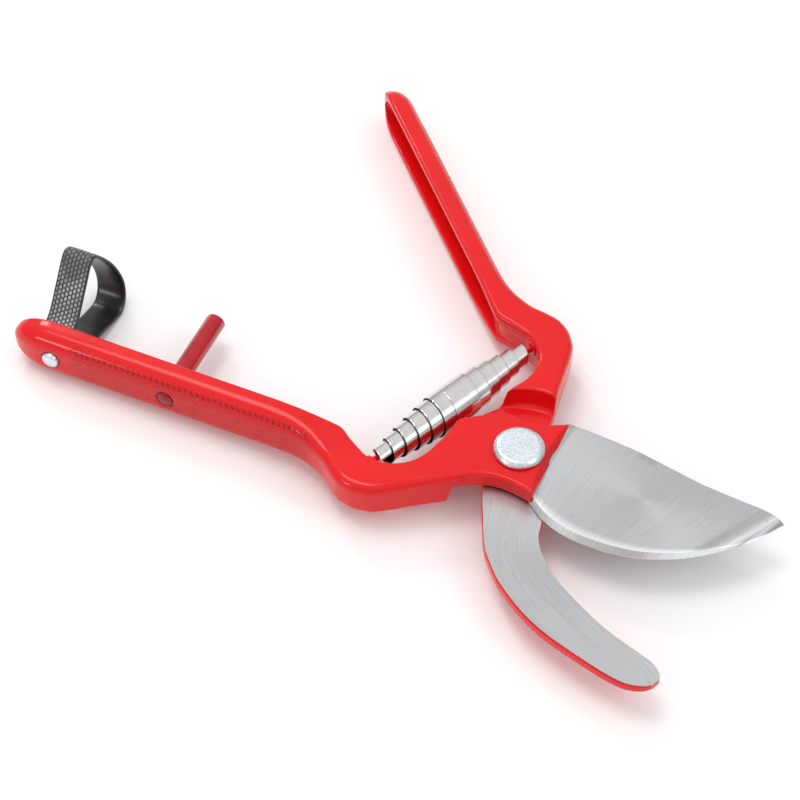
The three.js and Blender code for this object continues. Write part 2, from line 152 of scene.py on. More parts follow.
def closed_spline(points, steps):
    """A closed loop through points: each span is the Catmull-Rom cubic of its two ends and
    their neighbours."""
    p = np.array(points, float)
    a, b, c, d = np.roll(p, 1, 0), p, np.roll(p, -1, 0), np.roll(p, -2, 0)
    t = (np.arange(steps) / steps)[None, :, None]
    a, b, c, d = a[:, None], b[:, None], c[:, None], d[:, None]
    loop = 0.5 * (2 * b + (c - a) * t + (2 * a - 5 * b + 4 * c - d) * t**2
                  + (3 * b - a - 3 * c + d) * t**3)
    return loop.reshape(-1, p.shape[1])


def surface(name, points, uv=None, ring=True, loop=False, capped=True, masks=None, sharp=38):
    """A mesh over a grid of points (along, around, xyz) in millimetres.

    ring closes it around, loop closes it along, capped closes both ends with a fan from the
    middle of the end ring. The faces are turned outwards by the sign of the enclosed volume.
    uv is kept as the lay, and masks give every point named values for the finishes.
    """
    rows, cols = points.shape[:2]
    index = np.arange(rows * cols).reshape(rows, cols)
    wide = np.concatenate([index, index[:, :1]], 1) if ring else index
    tall = np.concatenate([wide, wide[:1]], 0) if loop else wide
    quads = np.stack([tall[:-1, :-1], tall[1:, :-1], tall[1:, 1:], tall[:-1, 1:]], -1)
    quads = quads.reshape(-1, 4)
    flat = points.reshape(-1, 3)
    faces = [quads]
    if capped and not loop:
        middle = np.array([points[0].mean(0), points[-1].mean(0)])
        flat = np.vstack([flat, middle])
        first = np.stack([wide[0, 1:], wide[0, :-1],
                          np.full(cols, rows * cols), np.full(cols, rows * cols)], -1)
        last = np.stack([wide[-1, :-1], wide[-1, 1:],
                         np.full(cols, rows * cols + 1), np.full(cols, rows * cols + 1)], -1)
        faces += [first, last]
    tris = np.vstack([np.vstack([f[:, [0, 1, 2]], f[:, [0, 2, 3]]]) for f in faces])
    corner = flat[tris]
    volume = np.einsum("ij,ij->i", corner[:, 0], np.cross(corner[:, 1], corner[:, 2])).sum()
    if volume < 0:
        faces = [f[:, ::-1] for f in faces]
    polygons = [list(dict.fromkeys(f)) for f in np.vstack(faces).tolist()]
    mesh = bpy.data.meshes.new(name)
    mesh.from_pydata((flat * MM).tolist(), [], polygons)
    picks = np.empty(len(mesh.loops), np.int64)
    mesh.loops.foreach_get("vertex_index", picks)
    if uv is not None:
        pad = len(flat) - rows * cols
        flat_uv = np.vstack([uv.reshape(-1, 2), np.zeros((pad, 2))])
        layer = mesh.uv_layers.new(name="lay")
        layer.data.foreach_set("uv", flat_uv[picks].astype(np.float32).ravel())
    for mask, values in (masks or {}).items():
        layer = mesh.attributes.new(mask, "FLOAT", "POINT")
        full = np.zeros(len(flat), np.float32)
        full[:rows * cols] = np.broadcast_to(values, (rows, cols)).ravel()
        layer.data.foreach_set("value", full)
    work = bmesh.new()
    work.from_mesh(mesh)
    bmesh.ops.remove_doubles(work, verts=work.verts, dist=2e-7)
    bmesh.ops.dissolve_degenerate(work, edges=work.edges, dist=1e-7)
    work.to_mesh(mesh)
    work.free()
    mesh.polygons.foreach_set("use_smooth", np.ones(len(mesh.polygons), bool))
    mesh.set_sharp_from_angle(angle=math.radians(sharp))
    made = bpy.data.objects.new(name, mesh)
    bpy.context.scene.collection.objects.link(made)
    return made


def fit_out(piece, body, slot, material, *nodes):
    """Gives a piece its finish, puts it on its body and lets it stand for its nodes."""
    piece.data.materials.clear()
    piece.data.materials.append(material)
    if body:
        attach(piece, body)
    if nodes:
        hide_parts(*nodes)


def soften(piece, width, segments=3, angle=30):
    """Rounds a piece's sharp edges to a radius in millimetres."""
    bevel = piece.modifiers.new("edges", "BEVEL")
    bevel.width = width * MM
    bevel.segments = segments
    bevel.limit_method = "ANGLE"
    bevel.angle_limit = math.radians(angle)
    bevel.harden_normals = True


def turned(name, profile, place, axis, lift, sides=64, edge=0.0):
    """A round piece: the profile's (radius, height) points turned about an axis through place."""
    axis = np.array(axis, float) / np.linalg.norm(axis)
    side = np.cross(axis, [0.3, 0.2, 1.0] if abs(axis[2]) < 0.9 else [1.0, 0.0, 0.0])
    side /= np.linalg.norm(side)
    other = np.cross(axis, side)
    angle = np.linspace(0, 2 * math.pi, sides, endpoint=False)
    rim = np.cos(angle)[:, None] * side + np.sin(angle)[:, None] * other
    rows = np.array(profile, float)
    points = (np.array(place, float) + rows[:, None, 1:] * axis
              + rows[:, None, :1] * rim[None, :, :])
    piece = surface(name, lift(points), capped=False)
    if edge:
        soften(piece, edge)
    return piece


# ---- sections ----------------------------------------------------------------------------------


def arc(cx, cy, radius, start, stop, count):
    """Points of arcs, one per row of the given columns, as arrays (rows, count)."""
    angle = np.radians(np.linspace(start, stop, count))
    return cx[:, None] + radius[:, None] * np.cos(angle), \
        cy[:, None] + radius[:, None] * np.sin(angle)


def between(a, b, count):
    """Evenly spaced points strictly between two columns."""
    t = (np.arange(count) + 1) / (count + 1)
    return a[:, None] * (1 - t) + b[:, None] * t


def half_section(width, height, r_back, r_mouth, depth, hollow):
    """Upper half of the channel or arm section from the middle of its back to the middle of
    its hollow's floor, as columns across (0 at the back) and up.

    Back, a corner arc, side, a corner arc, lip, hollow wall, fillet and floor follow each other;
    where the hollow has no depth they fall together on the flat inner face.
    """
    lip = np.minimum(0.45, depth / 2.5)
    fillet = np.minimum(1.5, depth / 2.5)
    hollow = np.maximum(np.minimum(hollow, height - r_mouth - lip - 0.01), fillet + 0.01)
    zero = np.zeros_like(width)
    runs = [
        (zero[:, None] + np.zeros((1, 7)), between(zero, height - r_back, 9)[:, :7]),
        arc(r_back, height - r_back, r_back, 180, 90, 13),
        (between(r_back, width - r_mouth, 5), height[:, None] + np.zeros((1, 5))),
        arc(width - r_mouth, height - r_mouth, r_mouth, 90, 0, 7),
        arc(width - lip, hollow + lip, lip, 0, -90, 5),
        (between(width - lip, width - depth + fillet, 5), hollow[:, None] + np.zeros((1, 5))),
        arc(width - depth + fillet, hollow - fillet, fillet, 90, 180, 7),
        ((width - depth)[:, None] + np.zeros((1, 3)), between(hollow - fillet, zero, 3)),
    ]
    return np.hstack([r[0] for r in runs]), np.hstack([r[1] for r in runs])


def bowed_plan(inner, outer, bow, a):
    """Where points lie in plan, and how far each station is from the first.

    A point lies the distance a along the line from the station's outer point to its inner
    point, moved square to that line by a parabola that is the bow halfway and nothing at both
    ends. Distances between stations are taken between the middles of their lines.
    """
    across = inner - outer
    width = np.linalg.norm(across, axis=1)[:, None]
    share = a / width
    unit = across / width
    normal = np.stack([unit[:, 1], -unit[:, 0]], -1)
    swell = -4 * bow[:, None] * share * (1 - share)
    plan = (outer[:, None] + across[:, None] * share[..., None]
            + normal[:, None] * swell[..., None])
    steps = np.linalg.norm(np.diff((inner + outer) / 2, axis=0), axis=1)
    return plan, np.concatenate([[0], np.cumsum(steps)])[:, None]


def forged(rows):
    """Points and lay of a forging from its rows of station numbers.

    Each section stands on the bowed line from its outer to its inner point. The lay gives the
    distance along the forging and the distance around the section from the middle of its back,
    both in millimetres.
    """
    inner, outer, bow = rows[:, 0:2], rows[:, 2:4], rows[:, 4]
    top, bottom, r_back, r_mouth, depth, hollow = rows[:, 5:11].T
    width = np.linalg.norm(inner - outer, axis=1)
    middle, height = (top + bottom) / 2, (top - bottom) / 2
    r_back = np.minimum(r_back, np.minimum(height * 0.96, width * 0.7))
    r_mouth = np.minimum(r_mouth, np.minimum(height, width / 2) * 0.6)
    a, k = half_section(width, height, r_back, r_mouth, depth, hollow)
    zero = np.zeros((len(rows), 1))
    a_floor = (width - depth)[:, None]
    a_ring = np.hstack([a_floor, a[:, ::-1], zero, a])
    k_ring = np.hstack([zero, -k[:, ::-1], zero, k])
    plan, length = bowed_plan(inner, outer, bow, a_ring)
    points = np.concatenate([plan, (middle[:, None] + k_ring)[..., None]], -1)
    step = np.hypot(np.diff(a_ring, axis=1), np.diff(k_ring, axis=1))
    around = np.hstack([zero, np.cumsum(step, axis=1)])
    back = 1 + a.shape[1]
    around = around - around[:, back:back + 1]
    lay = np.stack([np.broadcast_to(length, around.shape), around], -1)
    return points, lay


# Station columns: inner point, outer point, bow, top, bottom, back radius, mouth radius,
# depth of the hollow, half width of the hollow.
GRIP = (0.0, 7.5, -7.5, 4.8, 0.9, 5.3, 5.5)

# The last two columns where a section has next to no hollow.
SOLID_ARM = (0.02, 2.0)
SOLID_HEAD = (0.02, 1.0)


def butt_stations():
    """The rounded end of the handle: half an ellipse in side view and in plan, whose hollow
    ends as a smaller ellipse just short of it."""
    turn = np.radians([89.5, 84, 75, 65, 54, 42, 30, 18, 8])
    x = BUTT + 10.7 * (1 - np.sin(turn))
    shrink = np.cos(turn)
    inner = MOUTH - 1.9 * (1 - shrink)
    outer = BACK + 5.3 * (1 - shrink)
    reach = np.clip((x - (BUTT + 3.3)) / 8.0, 0, 1)
    round_end = np.sqrt(1 - (1 - reach) ** 2)
    depth = 0.02 + 5.28 * np.clip(round_end * 1.1, 0, 1)
    hollow = 5.5 * round_end + 0.01
    rows = np.stack([x, inner, x, outer, 0 * x, 7.5 * shrink, -7.5 * shrink,
                     0.3 + 4.5 * shrink, 0.9 * shrink + 0.05, depth, hollow], 1)
    return [tuple(row) for row in rows]


def handle_stations():
    """The straight channel and the elbow, up to where the step under the plate begins."""
    straight = [(x, MOUTH, x, BACK, *GRIP) for x in np.arange(-132, -63, 3.0)]
    channel_end = [
        (-59, MOUTH, -60, -18.35, 0, 7.3, -7.3, 4.5, 1.0, 4.9, 5.3),
        (-54.5, MOUTH, -56.5, -18.7, 0, 6.9, -6.9, 4.1, 1.1, 4.3, 4.8),
        (-51, MOUTH, -53, -19.5, 0, 6.5, -6.5, 3.7, 1.2, 3.2, 4.2),
        (-46.5, -11.1, -50, -20.7, 0, 6.0, -6.0, 3.2, 1.4, 1.4, 3.4),
    ]
    elbow = [
        (-42, -13.5, -46.6, -22.4, 0, 5.6, -5.6, 2.7, 1.6),
        (-38.5, -15.6, -42.5, -25.6, 0, 5.5, -5.5, 2.6, 1.5),
        (-36, -16.9, -39, -27.7, 0, 5.5, -5.5, 2.6, 1.4),
        (-33, -17.4, -35, -28.4, 0, 5.5, -5.5, 2.6, 1.3),
        (-30, -17.0, -30.5, -27.7, 0, 5.5, -5.5, 2.5, 1.3),
        (-27.5, -16.1, -26.5, -25.5, 0.2, 5.5, -5.5, 2.4, 1.2),
        (-25.2, -14.7, -23, -22.9, 0.5, 5.5, -5.5, 2.2, 1.1),
        (-22.9, -12.0, -19.4, -20.2, 0.9, 5.5, -5.5, 2.0, 1.0),
        (-21.3, -8.8, -16.4, -18.0, 1.2, 5.5, -5.5, 1.8, 1.0),
        (-20.4, -5.6, -14.4, -16.6, 1.3, 5.5, -5.5, 1.6, 1.0),
    ]
    return butt_stations() + straight + channel_end + [row + SOLID_ARM for row in elbow]


def head_stations(low):
    """The step, ending at the lap's round wall, and the head plate; low is its lower face."""
    rows = [
        (-20.0, -4.6, -13.7, -16.1, 1.4, 5.5, -5.2, 1.5, 1.0),
        (-19.85, -3.8, -13.2, -15.7, 1.5, 5.5, -3.4, 1.4, 1.0),
        (-19.6, -2.9, -12.7, -15.3, 1.5, 5.5, low - 1.1, 1.3, 0.9),
        (-19.2, -1.0, -11.8, -14.6, 1.3, 5.5, low, 1.2, 0.8),
        (-18.95, 0.9, -11.1, -14.1, 1.2, 5.5, low, 1.2, 0.8),
        (-18.6, 3.2, -10, -13.2, 1.0, 5.5, low, 1.1, 0.8),
        (-18.0, 4.1, -9.4, -12.8, 0.8, 5.5, low, 1.0, 0.8),
        (-13.4, 7.3, -6.4, -11.4, 0.6, 5.5, low, 1.0, 0.8),
        (-9.0, 10.3, -4, -10.6, 0.5, 5.5, low, 1.0, 0.8),
        (-7.8, 10.75, -3, -10.4, 0.5, 5.5, low, 1.0, 0.8),
        (-4, 10.6, -1, -10.2, 0.5, 5.5, low, 1.0, 0.8),
        (0.5, 10.5, 2, -10.3, 0.7, 5.5, low, 1.0, 0.8),
    ]
    return [row + SOLID_HEAD for row in rows]


def plate_end_stations():
    """Where the blade half's painted plate stops across the blade, rolled over to its face."""
    rows = [
        (4.6, 11.5, 5, -10.8, 1.0, 5.5, 0.15, 1.0, 0.8),
        (6.6, 12.5, 6.5, -11.0, 1.3, 5.5, 0.15, 0.9, 0.7),
        (8.1, 13.1, 7.6, -11.3, 1.5, 5.45, 0.15, 0.8, 0.6),
        (8.6, 13.3, 8.0, -11.4, 1.6, 5.3, 0.15, 0.6, 0.5),
        (8.8, 13.4, 8.2, -11.4, 1.6, 4.9, 0.15, 0.4, 0.4),
    ]
    return [row + SOLID_HEAD for row in rows]


# Inner and outer points of the hook from the plate to its tip, with its far face's height.
HOOK = [
    (4, 11.6, 6, -7.1, 5.5), (9, 13.6, 11, -4.5, 5.4), (14.8, 15.6, 16.1, -1.6, 5.0),
    (19.7, 17.3, 20.6, 1.6, 4.7), (24.65, 18.3, 24.65, 3.9, 4.5), (31, 18.5, 29, 4.7, 4.3),
    (37.15, 17.7, 33.5, 4.7, 4.2), (43.5, 16.2, 38.2, 3.95, 4.2), (49.65, 13.9, 42.4, 2.8, 4.2),
    (55, 11.1, 48, 1.0, 4.1), (60.2, 8.0, 53.6, -1.1, 4.0), (64.5, 5.3, 58, -3.2, 3.9),
    (68.7, 2.4, 62.2, -5.5, 3.8), (71.2, 0.2, 65.5, -7.4, 3.6), (72.7, -1.9, 68.7, -8.9, 3.4),
    (73.7, -4.2, 71.5, -9.2, 3.0), (74, -6.0, 73.0, -8.6, 2.4),
]


def hook_stations():
    """The painted body of the hook below its ground face, rounded off at its far side."""
    return [(*plan, 0, top, 0.3, 2.0, 2.0, *SOLID_HEAD) for *plan, top in HOOK]


def slab(rows, bevel, low, land, round_over, fall=0.0):
    """A flat ground piece between inner and outer points: columns I, O, bow and top.

    Its ring runs along the flat underside, up the outer edge's land, over a bevel of a given
    width to the top, round the inner edge and down. The top falls evenly towards the outer
    edge by fall, and by less in proportion where the piece is under 12 mm wide. The lay is the
    distance along and across in millimetres.
    """
    inner, outer, bow, top = rows[:, 0:2], rows[:, 2:4], rows[:, 4], rows[:, 5]
    width = np.linalg.norm(inner - outer, axis=1)
    slope = np.minimum(bevel, width * 0.45)
    over = np.minimum(round_over, width * 0.2)
    zero = np.zeros_like(width)
    crown_a, crown_z = arc(width - over, top - over, over, 90, 0, 5)
    a = np.hstack([between(width, zero, 9), zero[:, None], zero[:, None],
                   between(zero, slope, 3), slope[:, None],
                   between(slope, width - over, 11), crown_a, width[:, None]])
    flat_low = zero + low
    drop = fall * np.minimum(1, width / 12)
    shoulder = top - drop
    span = np.maximum(width - over - slope, 1e-6)
    rise = (between(slope, width - over, 11) - slope[:, None]) / span[:, None]
    z = np.hstack([flat_low[:, None] + np.zeros((1, 9)), flat_low[:, None],
                   flat_low[:, None] + land, between(flat_low + land, shoulder, 3),
                   shoulder[:, None], top[:, None] - drop[:, None] * (1 - rise), crown_z,
                   flat_low[:, None]])
    plan, length = bowed_plan(inner, outer, bow, a)
    lay = np.stack([np.broadcast_to(length, a.shape), a], -1)
    return np.concatenate([plan, z[..., None]], -1), lay


# Inner (spine) and outer (edge) points of the blade from the paint line to the tip, and bow.
BLADE = [
    (8.2, 13.6, 7.4, -11.2, 1.6), (9.3, 14.6, 8.2, -11.7, 1.6), (10.6, 14.9, 8.9, -12.3, 1.5),
    (13, 14.9, 10.2, -13.3, 1.0), (17, 14.7, 12, -14.6, 0.5), (22, 14.3, 14.8, -16.0, 0.2),
    (28.6, 13.6, 19, -17.3, 0),
    (35, 12.4, 23.65, -17.9, 0), (41, 11.3, 29, -17.9, 0), (47.1, 10.2, 34.2, -17.4, 0),
    (53, 9.6, 39, -16.4, 0), (58, 9.2, 44, -14.6, 0), (62, 8.95, 49, -12.2, 0),
    (65.5, 8.75, 53.9, -9, 0), (67.7, 8.65, 59.5, -4.4, 0), (69, 8.58, 64.4, 0.6, 0),
    (69.6, 8.54, 67.5, 4.6, 0), (70.1, 8.5, 70.0, 8.3, 0),
]


# ---- node groups and finishes ------------------------------------------------------------------


def add(tree, kind, inputs=None, **settings):
    """A node of a kind, its settings and its inputs, each a value or another node's output."""
    made = tree.nodes.new(kind)
    for key, value in settings.items():
        setattr(made, key, value)
    for key, value in (inputs or {}).items():
        if isinstance(value, bpy.types.NodeSocket):
            tree.links.new(value, made.inputs[key])
        else:
            made.inputs[key].default_value = value
    return made


def maths(tree, operation, a, b=None, c=None):
    """One arithmetic node; each term is a number or another node's output."""
    terms = {i: v for i, v in enumerate((a, b, c)) if v is not None}
    return add(tree, "ShaderNodeMath", terms, operation=operation).outputs[0]


def times(tree, a, b):
    return maths(tree, "MULTIPLY", a, b)


def noise(tree, vector, scale, detail=2.0, roughness=0.5):
    """Cloudy noise from 0 to 1."""
    return add(tree, "ShaderNodeTexNoise", {"Vector": vector, "Scale": scale, "Detail": detail,
                                            "Roughness": roughness}).outputs[0]


def ranged(tree, value, low, high, start=0.3, stop=0.7):
    """The value carried from the range start to stop over to the range low to high."""
    return add(tree, "ShaderNodeMapRange", {"Value": value, "From Min": start, "From Max": stop,
                                            "To Min": low, "To Max": high}).outputs[0]


def new_group(name, takes, gives):
    """An empty node group, with both of its end nodes.

    takes has every input's name and default, which is None for a vector; gives names outputs.
    """
    group = bpy.data.node_groups.new(name, "ShaderNodeTree")
    for label, default in takes.items():
        kind = "NodeSocketVector" if default is None else "NodeSocketFloat"
        socket = group.interface.new_socket(label, in_out="INPUT", socket_type=kind)
        if default is not None:
            socket.default_value = default
    for label in gives:
        group.interface.new_socket(label, in_out="OUTPUT", socket_type="NodeSocketFloat")
    return group, group.nodes.new("NodeGroupInput"), group.nodes.new("NodeGroupOutput")


def use_group(tree, group, inputs):
    return add(tree, "ShaderNodeGroup", inputs, node_tree=group)


def grain_group():
    """Brushed lines: noise drawn out along Y of its vector, in two widths, and cloudy patches."""
    group, enter, leave = new_group(
        "brushed_grain", {"Vector": None, "Density": 4.0, "Length": 0.1}, ["Lines", "Patches"])
    parts = add(group, "ShaderNodeSeparateXYZ", {0: enter.outputs["Vector"]})
    along = times(group, parts.outputs[0], enter.outputs["Density"])
    across = times(group, parts.outputs[1], enter.outputs["Length"])
    drawn = add(group, "ShaderNodeCombineXYZ", {0: along, 1: across, 2: parts.outputs[2]})
    fine = noise(group, drawn.outputs[0], 1.0, 4.0, 0.7)
    broad = noise(group, drawn.outputs[0], 0.23)
    lines = maths(group, "MULTIPLY_ADD", broad, 0.45, times(group, fine, 0.55))
    cloud = noise(group, enter.outputs["Vector"], 0.09, 3.0, 0.55)
    group.links.new(lines, leave.inputs["Lines"])
    group.links.new(cloud, leave.inputs["Patches"])
    return group


def lay_turns(group, enter, whole):
    """The lay's distance around, then its distances along and around as angles.

    A pitch's distance is the whole angle given.
    """
    parts = add(group, "ShaderNodeSeparateXYZ", {0: enter.outputs["Lay"]})
    along, around = parts.outputs[0], parts.outputs[1]
    turn = maths(group, "DIVIDE", whole, enter.outputs["Pitch"])
    return around, times(group, along, turn), times(group, around, turn)


def knurl_group():
    """Crossed diagonal ridges on the lay: the product of two waves, with a notched border."""
    group, enter, leave = new_group(
        "diamond_knurl", {"Lay": None, "Pitch": 1.2, "Cover": 1.0}, ["Height"])
    around, u, v = lay_turns(group, enter, 2 * math.pi)
    first = maths(group, "SINE", times(group, maths(group, "ADD", u, v), 0.5))
    second = maths(group, "SINE", times(group, maths(group, "SUBTRACT", u, v), 0.5))
    both = times(group, maths(group, "ABSOLUTE", first), maths(group, "ABSOLUTE", second))
    border = maths(group, "ABSOLUTE", around)
    near = maths(group, "SMOOTH_MIN", maths(group, "SUBTRACT", border, 4.7), 0.9, 0.2)
    wave = maths(group, "MULTIPLY_ADD", around, 1.6, times(group, u, 0.86))
    notch = times(group, maths(group, "MAXIMUM", maths(group, "SINE", wave), 0.0),
                  maths(group, "MAXIMUM", near, 0.0))
    height = maths(group, "MULTIPLY_ADD", notch, -2.2, both)
    group.links.new(times(group, height, enter.outputs["Cover"]), leave.inputs["Height"])
    return group


def weave_group():
    """A basket weave on the lay: rows of rounded bumps, each row half a bump further on."""
    group, enter, leave = new_group(
        "basket_weave", {"Lay": None, "Pitch": 1.0, "Cover": 1.0}, ["Threads"])
    _, u, v = lay_turns(group, enter, math.pi)
    row = maths(group, "FLOOR", maths(group, "DIVIDE", v, math.pi))
    shifted = maths(group, "MULTIPLY_ADD", row, math.pi / 2, times(group, u, 0.8))
    bump = times(group, maths(group, "ABSOLUTE", maths(group, "SINE", shifted)),
                 maths(group, "ABSOLUTE", maths(group, "SINE", v)))
    threads = maths(group, "POWER", bump, 0.7)
    group.links.new(times(group, threads, enter.outputs["Cover"]), leave.inputs["Threads"])
    return group


def handled_group():
    """Signs of use: soft large blotches and fine specks, both from 0 to 1."""
    group, enter, leave = new_group("handled", {"Vector": None, "Specks": 900.0},
                                    ["Blotch", "Speck"])
    blotch = noise(group, enter.outputs["Vector"], 55.0, 3.0, 0.6)
    speck = noise(group, enter.outputs["Vector"], enter.outputs["Specks"])
    group.links.new(blotch, leave.inputs["Blotch"])
    group.links.new(ranged(group, speck, 0, 1, 0.66, 0.78), leave.inputs["Speck"])
    return group


def shared_group(name, build):
    """The node group of a name, built the first time that it is asked for."""
    return bpy.data.node_groups.get(name) or build()


def signs_of_use(tree, **inputs):
    """The handled group, used with the inputs given."""
    return use_group(tree, shared_group("handled", handled_group), inputs)


def lay_place(tree):
    """The surface's own distances, as kept with its points."""
    return add(tree, "ShaderNodeUVMap", uv_map="lay").outputs[0]


def mask_value(tree, name):
    """The value that a surface's points have under a mask's name."""
    return add(tree, "ShaderNodeAttribute", attribute_name=name).outputs["Fac"]


def new_finish(name, **sockets):
    """A material with its shader's plain values set; returns the material, tree and shader."""
    material = bpy.data.materials.new(name)
    material.use_nodes = True
    tree = material.node_tree
    shader = tree.nodes["Principled BSDF"]
    for label, value in sockets.items():
        shader.inputs[label.replace("_", " ")].default_value = value
    return material, tree, shader


def mixed(tree, share, first, second):
    """Colour between two colours by a share that varies over the surface."""
    node = add(tree, "ShaderNodeMix", {"Factor": share}, data_type="RGBA")
    for label, value in (("A", first), ("B", second)):
        socket = [s for s in node.inputs if s.name == label and s.type == "RGBA"][0]
        if isinstance(value, bpy.types.NodeSocket):
            tree.links.new(value, socket)
        else:
            socket.default_value = value
    return [s for s in node.outputs if s.type == "RGBA"][0]


def bumped(tree, shader, height, distance, strength=1.0, under=None):
    """Height, in the distance given in millimetres, as the shader's normal."""
    inputs = {"Height": height, "Distance": distance * MM, "Strength": strength}
    if under is not None:
        inputs["Normal"] = under
    normal = add(tree, "ShaderNodeBump", inputs).outputs[0]
    tree.links.new(normal, shader.inputs["Normal"])
    return normal


def object_place(tree):
    """The place in the piece's own space, in metres."""
    return add(tree, "ShaderNodeTexCoord").outputs["Object"]


def darker(colour, share):
    """The colour with its red, green and blue multiplied by a share."""
    return (*[c * share for c in colour[:3]], 1.0)


def red_paint(look):
    """Thick glossy paint: slight orange peel, faint depth changes, knurling on the grips,
    and painted shade in the knurl's grooves and in the wells round the rivet and stop pin.
    """
    finish, tree, shader = new_finish("gloss_paint", Roughness=0.24, Coat_Weight=0.3,
                                      Coat_Roughness=0.08, Specular_IOR_Level=0.2)
    place = object_place(tree)
    use = signs_of_use(tree, Vector=place)
    paint = tuple(look.paint)
    base = mixed(tree, ranged(tree, use.outputs["Blotch"], 0, 1), darker(paint, 0.9), paint)
    cover = mask_value(tree, "knurl")
    knurl = use_group(tree, shared_group("diamond_knurl", knurl_group),
                      {"Lay": lay_place(tree), "Pitch": look.knurl_pitch / MM, "Cover": cover})
    # Painted shade: the paint is darkened where the knurl is low, in its grooves and notched
    # border.
    knurl_groove_shade = times(tree, maths(tree, "SUBTRACT", 0.85, knurl.outputs[0]), cover)
    tone = mixed(tree, times(tree, knurl_groove_shade, 0.4), base, darker(paint, 0.5))
    # Painted shade in the wells round the rivet and the stop pin: the paint darkened nearly to
    # black.
    painted_well_shade = mask_value(tree, "painted_well_shade")
    tree.links.new(mixed(tree, times(tree, painted_well_shade, 0.85), tone, darker(paint, 0.12)),
                   shader.inputs["Base Color"])
    tree.links.new(ranged(tree, use.outputs["Blotch"], 0.2, 0.3), shader.inputs["Roughness"])
    skin = bumped(tree, shader, noise(tree, place, 420.0), 0.05, 0.5)
    bumped(tree, shader, knurl.outputs[0], 0.26, 0.9, skin)
    return finish


def pin_paint(look):
    """The same paint over a bare rod, thinner and darker, in soft blotches."""
    finish, tree, shader = new_finish("thin_paint", Roughness=0.22, Coat_Weight=0.3,
                                      Coat_Roughness=0.06, Specular_IOR_Level=0.3)
    use = signs_of_use(tree, Vector=object_place(tree))
    pin = tuple(look.pin_paint)
    tree.links.new(mixed(tree, ranged(tree, use.outputs["Blotch"], 0, 1, 0.4, 0.6),
                         darker(pin, 0.6), pin), shader.inputs["Base Color"])
    bumped(tree, shader, use.outputs["Blotch"], 0.08, 0.5)
    return finish


def ground_steel(look, name, density, length, rough):
    """Ground steel: fine brushed lines across the lay, uneven sheen, a few dark specks, and on
    the bevel a lighter, fresher grind with a painted highlight up to near white.
    """
    finish, tree, shader = new_finish(name, Metallic=1.0, Anisotropic=0.35)
    place = object_place(tree)
    grain = use_group(tree, shared_group("brushed_grain", grain_group),
                      {"Vector": lay_place(tree), "Density": density, "Length": length})
    use = signs_of_use(tree, Vector=place)
    steel = tuple(look.steel)
    lines = ranged(tree, grain.outputs["Lines"], 0, 1, 0.36, 0.64)
    tone = mixed(tree, lines, darker(steel, 0.72), steel)
    cloud = ranged(tree, grain.outputs["Patches"], 0.0, 0.35)
    toned = mixed(tree, cloud, tone, darker(steel, 0.78))
    specked = mixed(tree, times(tree, use.outputs["Speck"], 0.4), toned, darker(steel, 0.35))
    # Painted highlight on the bevel, partly its fresher grind: lighter steel, up to near white.
    fresh_grind_highlight = mixed(tree, lines, darker(steel, 1.1), (0.98, 0.98, 0.98, 1))
    tree.links.new(mixed(tree, mask_value(tree, "bevel"), specked, fresh_grind_highlight),
                   shader.inputs["Base Color"])
    tree.links.new(ranged(tree, grain.outputs["Lines"], rough + 0.1, rough - 0.06, 0.35, 0.65),
                   shader.inputs["Roughness"])
    bumped(tree, shader, grain.outputs["Lines"], 0.03, 0.55)
    return finish


def zinc_plate(look):
    """Dull bluish zinc: pale, cloudy, with small crystal patches and specks."""
    finish, tree, shader = new_finish("dull_zinc", Metallic=1.0)
    place = object_place(tree)
    cells = add(tree, "ShaderNodeTexVoronoi", {"Vector": place, "Scale": 1400.0})
    use = signs_of_use(tree, Vector=place, Specks=1600.0)
    zinc = tuple(look.zinc)
    flakes = times(tree, cells.outputs["Distance"], 1.3)
    tone = mixed(tree, maths(tree, "MULTIPLY_ADD", use.outputs["Blotch"], 0.5, flakes),
                 darker(zinc, 0.7), darker(zinc, 1.18))
    tree.links.new(mixed(tree, times(tree, use.outputs["Speck"], 0.5), tone,
                         darker(zinc, 0.55)), shader.inputs["Base Color"])
    tree.links.new(ranged(tree, use.outputs["Blotch"], 0.26, 0.42), shader.inputs["Roughness"])
    bumped(tree, shader, cells.outputs["Distance"], 0.05, 0.4)
    return finish


def spring_steel(look):
    """Rolled strip: near mirror with faint rolling lines, and painted shade on its edges, near
    black where the gaps between the coils are shaded.
    """
    finish, tree, shader = new_finish("polished_strip", Metallic=1.0)
    grain = use_group(tree, shared_group("brushed_grain", grain_group),
                      {"Vector": lay_place(tree), "Density": 0.35, "Length": 6.0})
    steel = tuple(look.spring)
    rim = mask_value(tree, "rim")
    tone = mixed(tree, ranged(tree, grain.outputs["Lines"], 0, 1), darker(steel, 0.8), steel)
    # Painted shade between the coils: the strip's edges near black.
    tree.links.new(mixed(tree, rim, tone, (0.012, 0.011, 0.012, 1)), shader.inputs["Base Color"])
    rough = ranged(tree, grain.outputs["Lines"], 0.1, 0.2)
    tree.links.new(maths(tree, "MULTIPLY_ADD", rim, 0.35, rough), shader.inputs["Roughness"])
    bumped(tree, shader, grain.outputs["Lines"], 0.015, 0.4)
    return finish


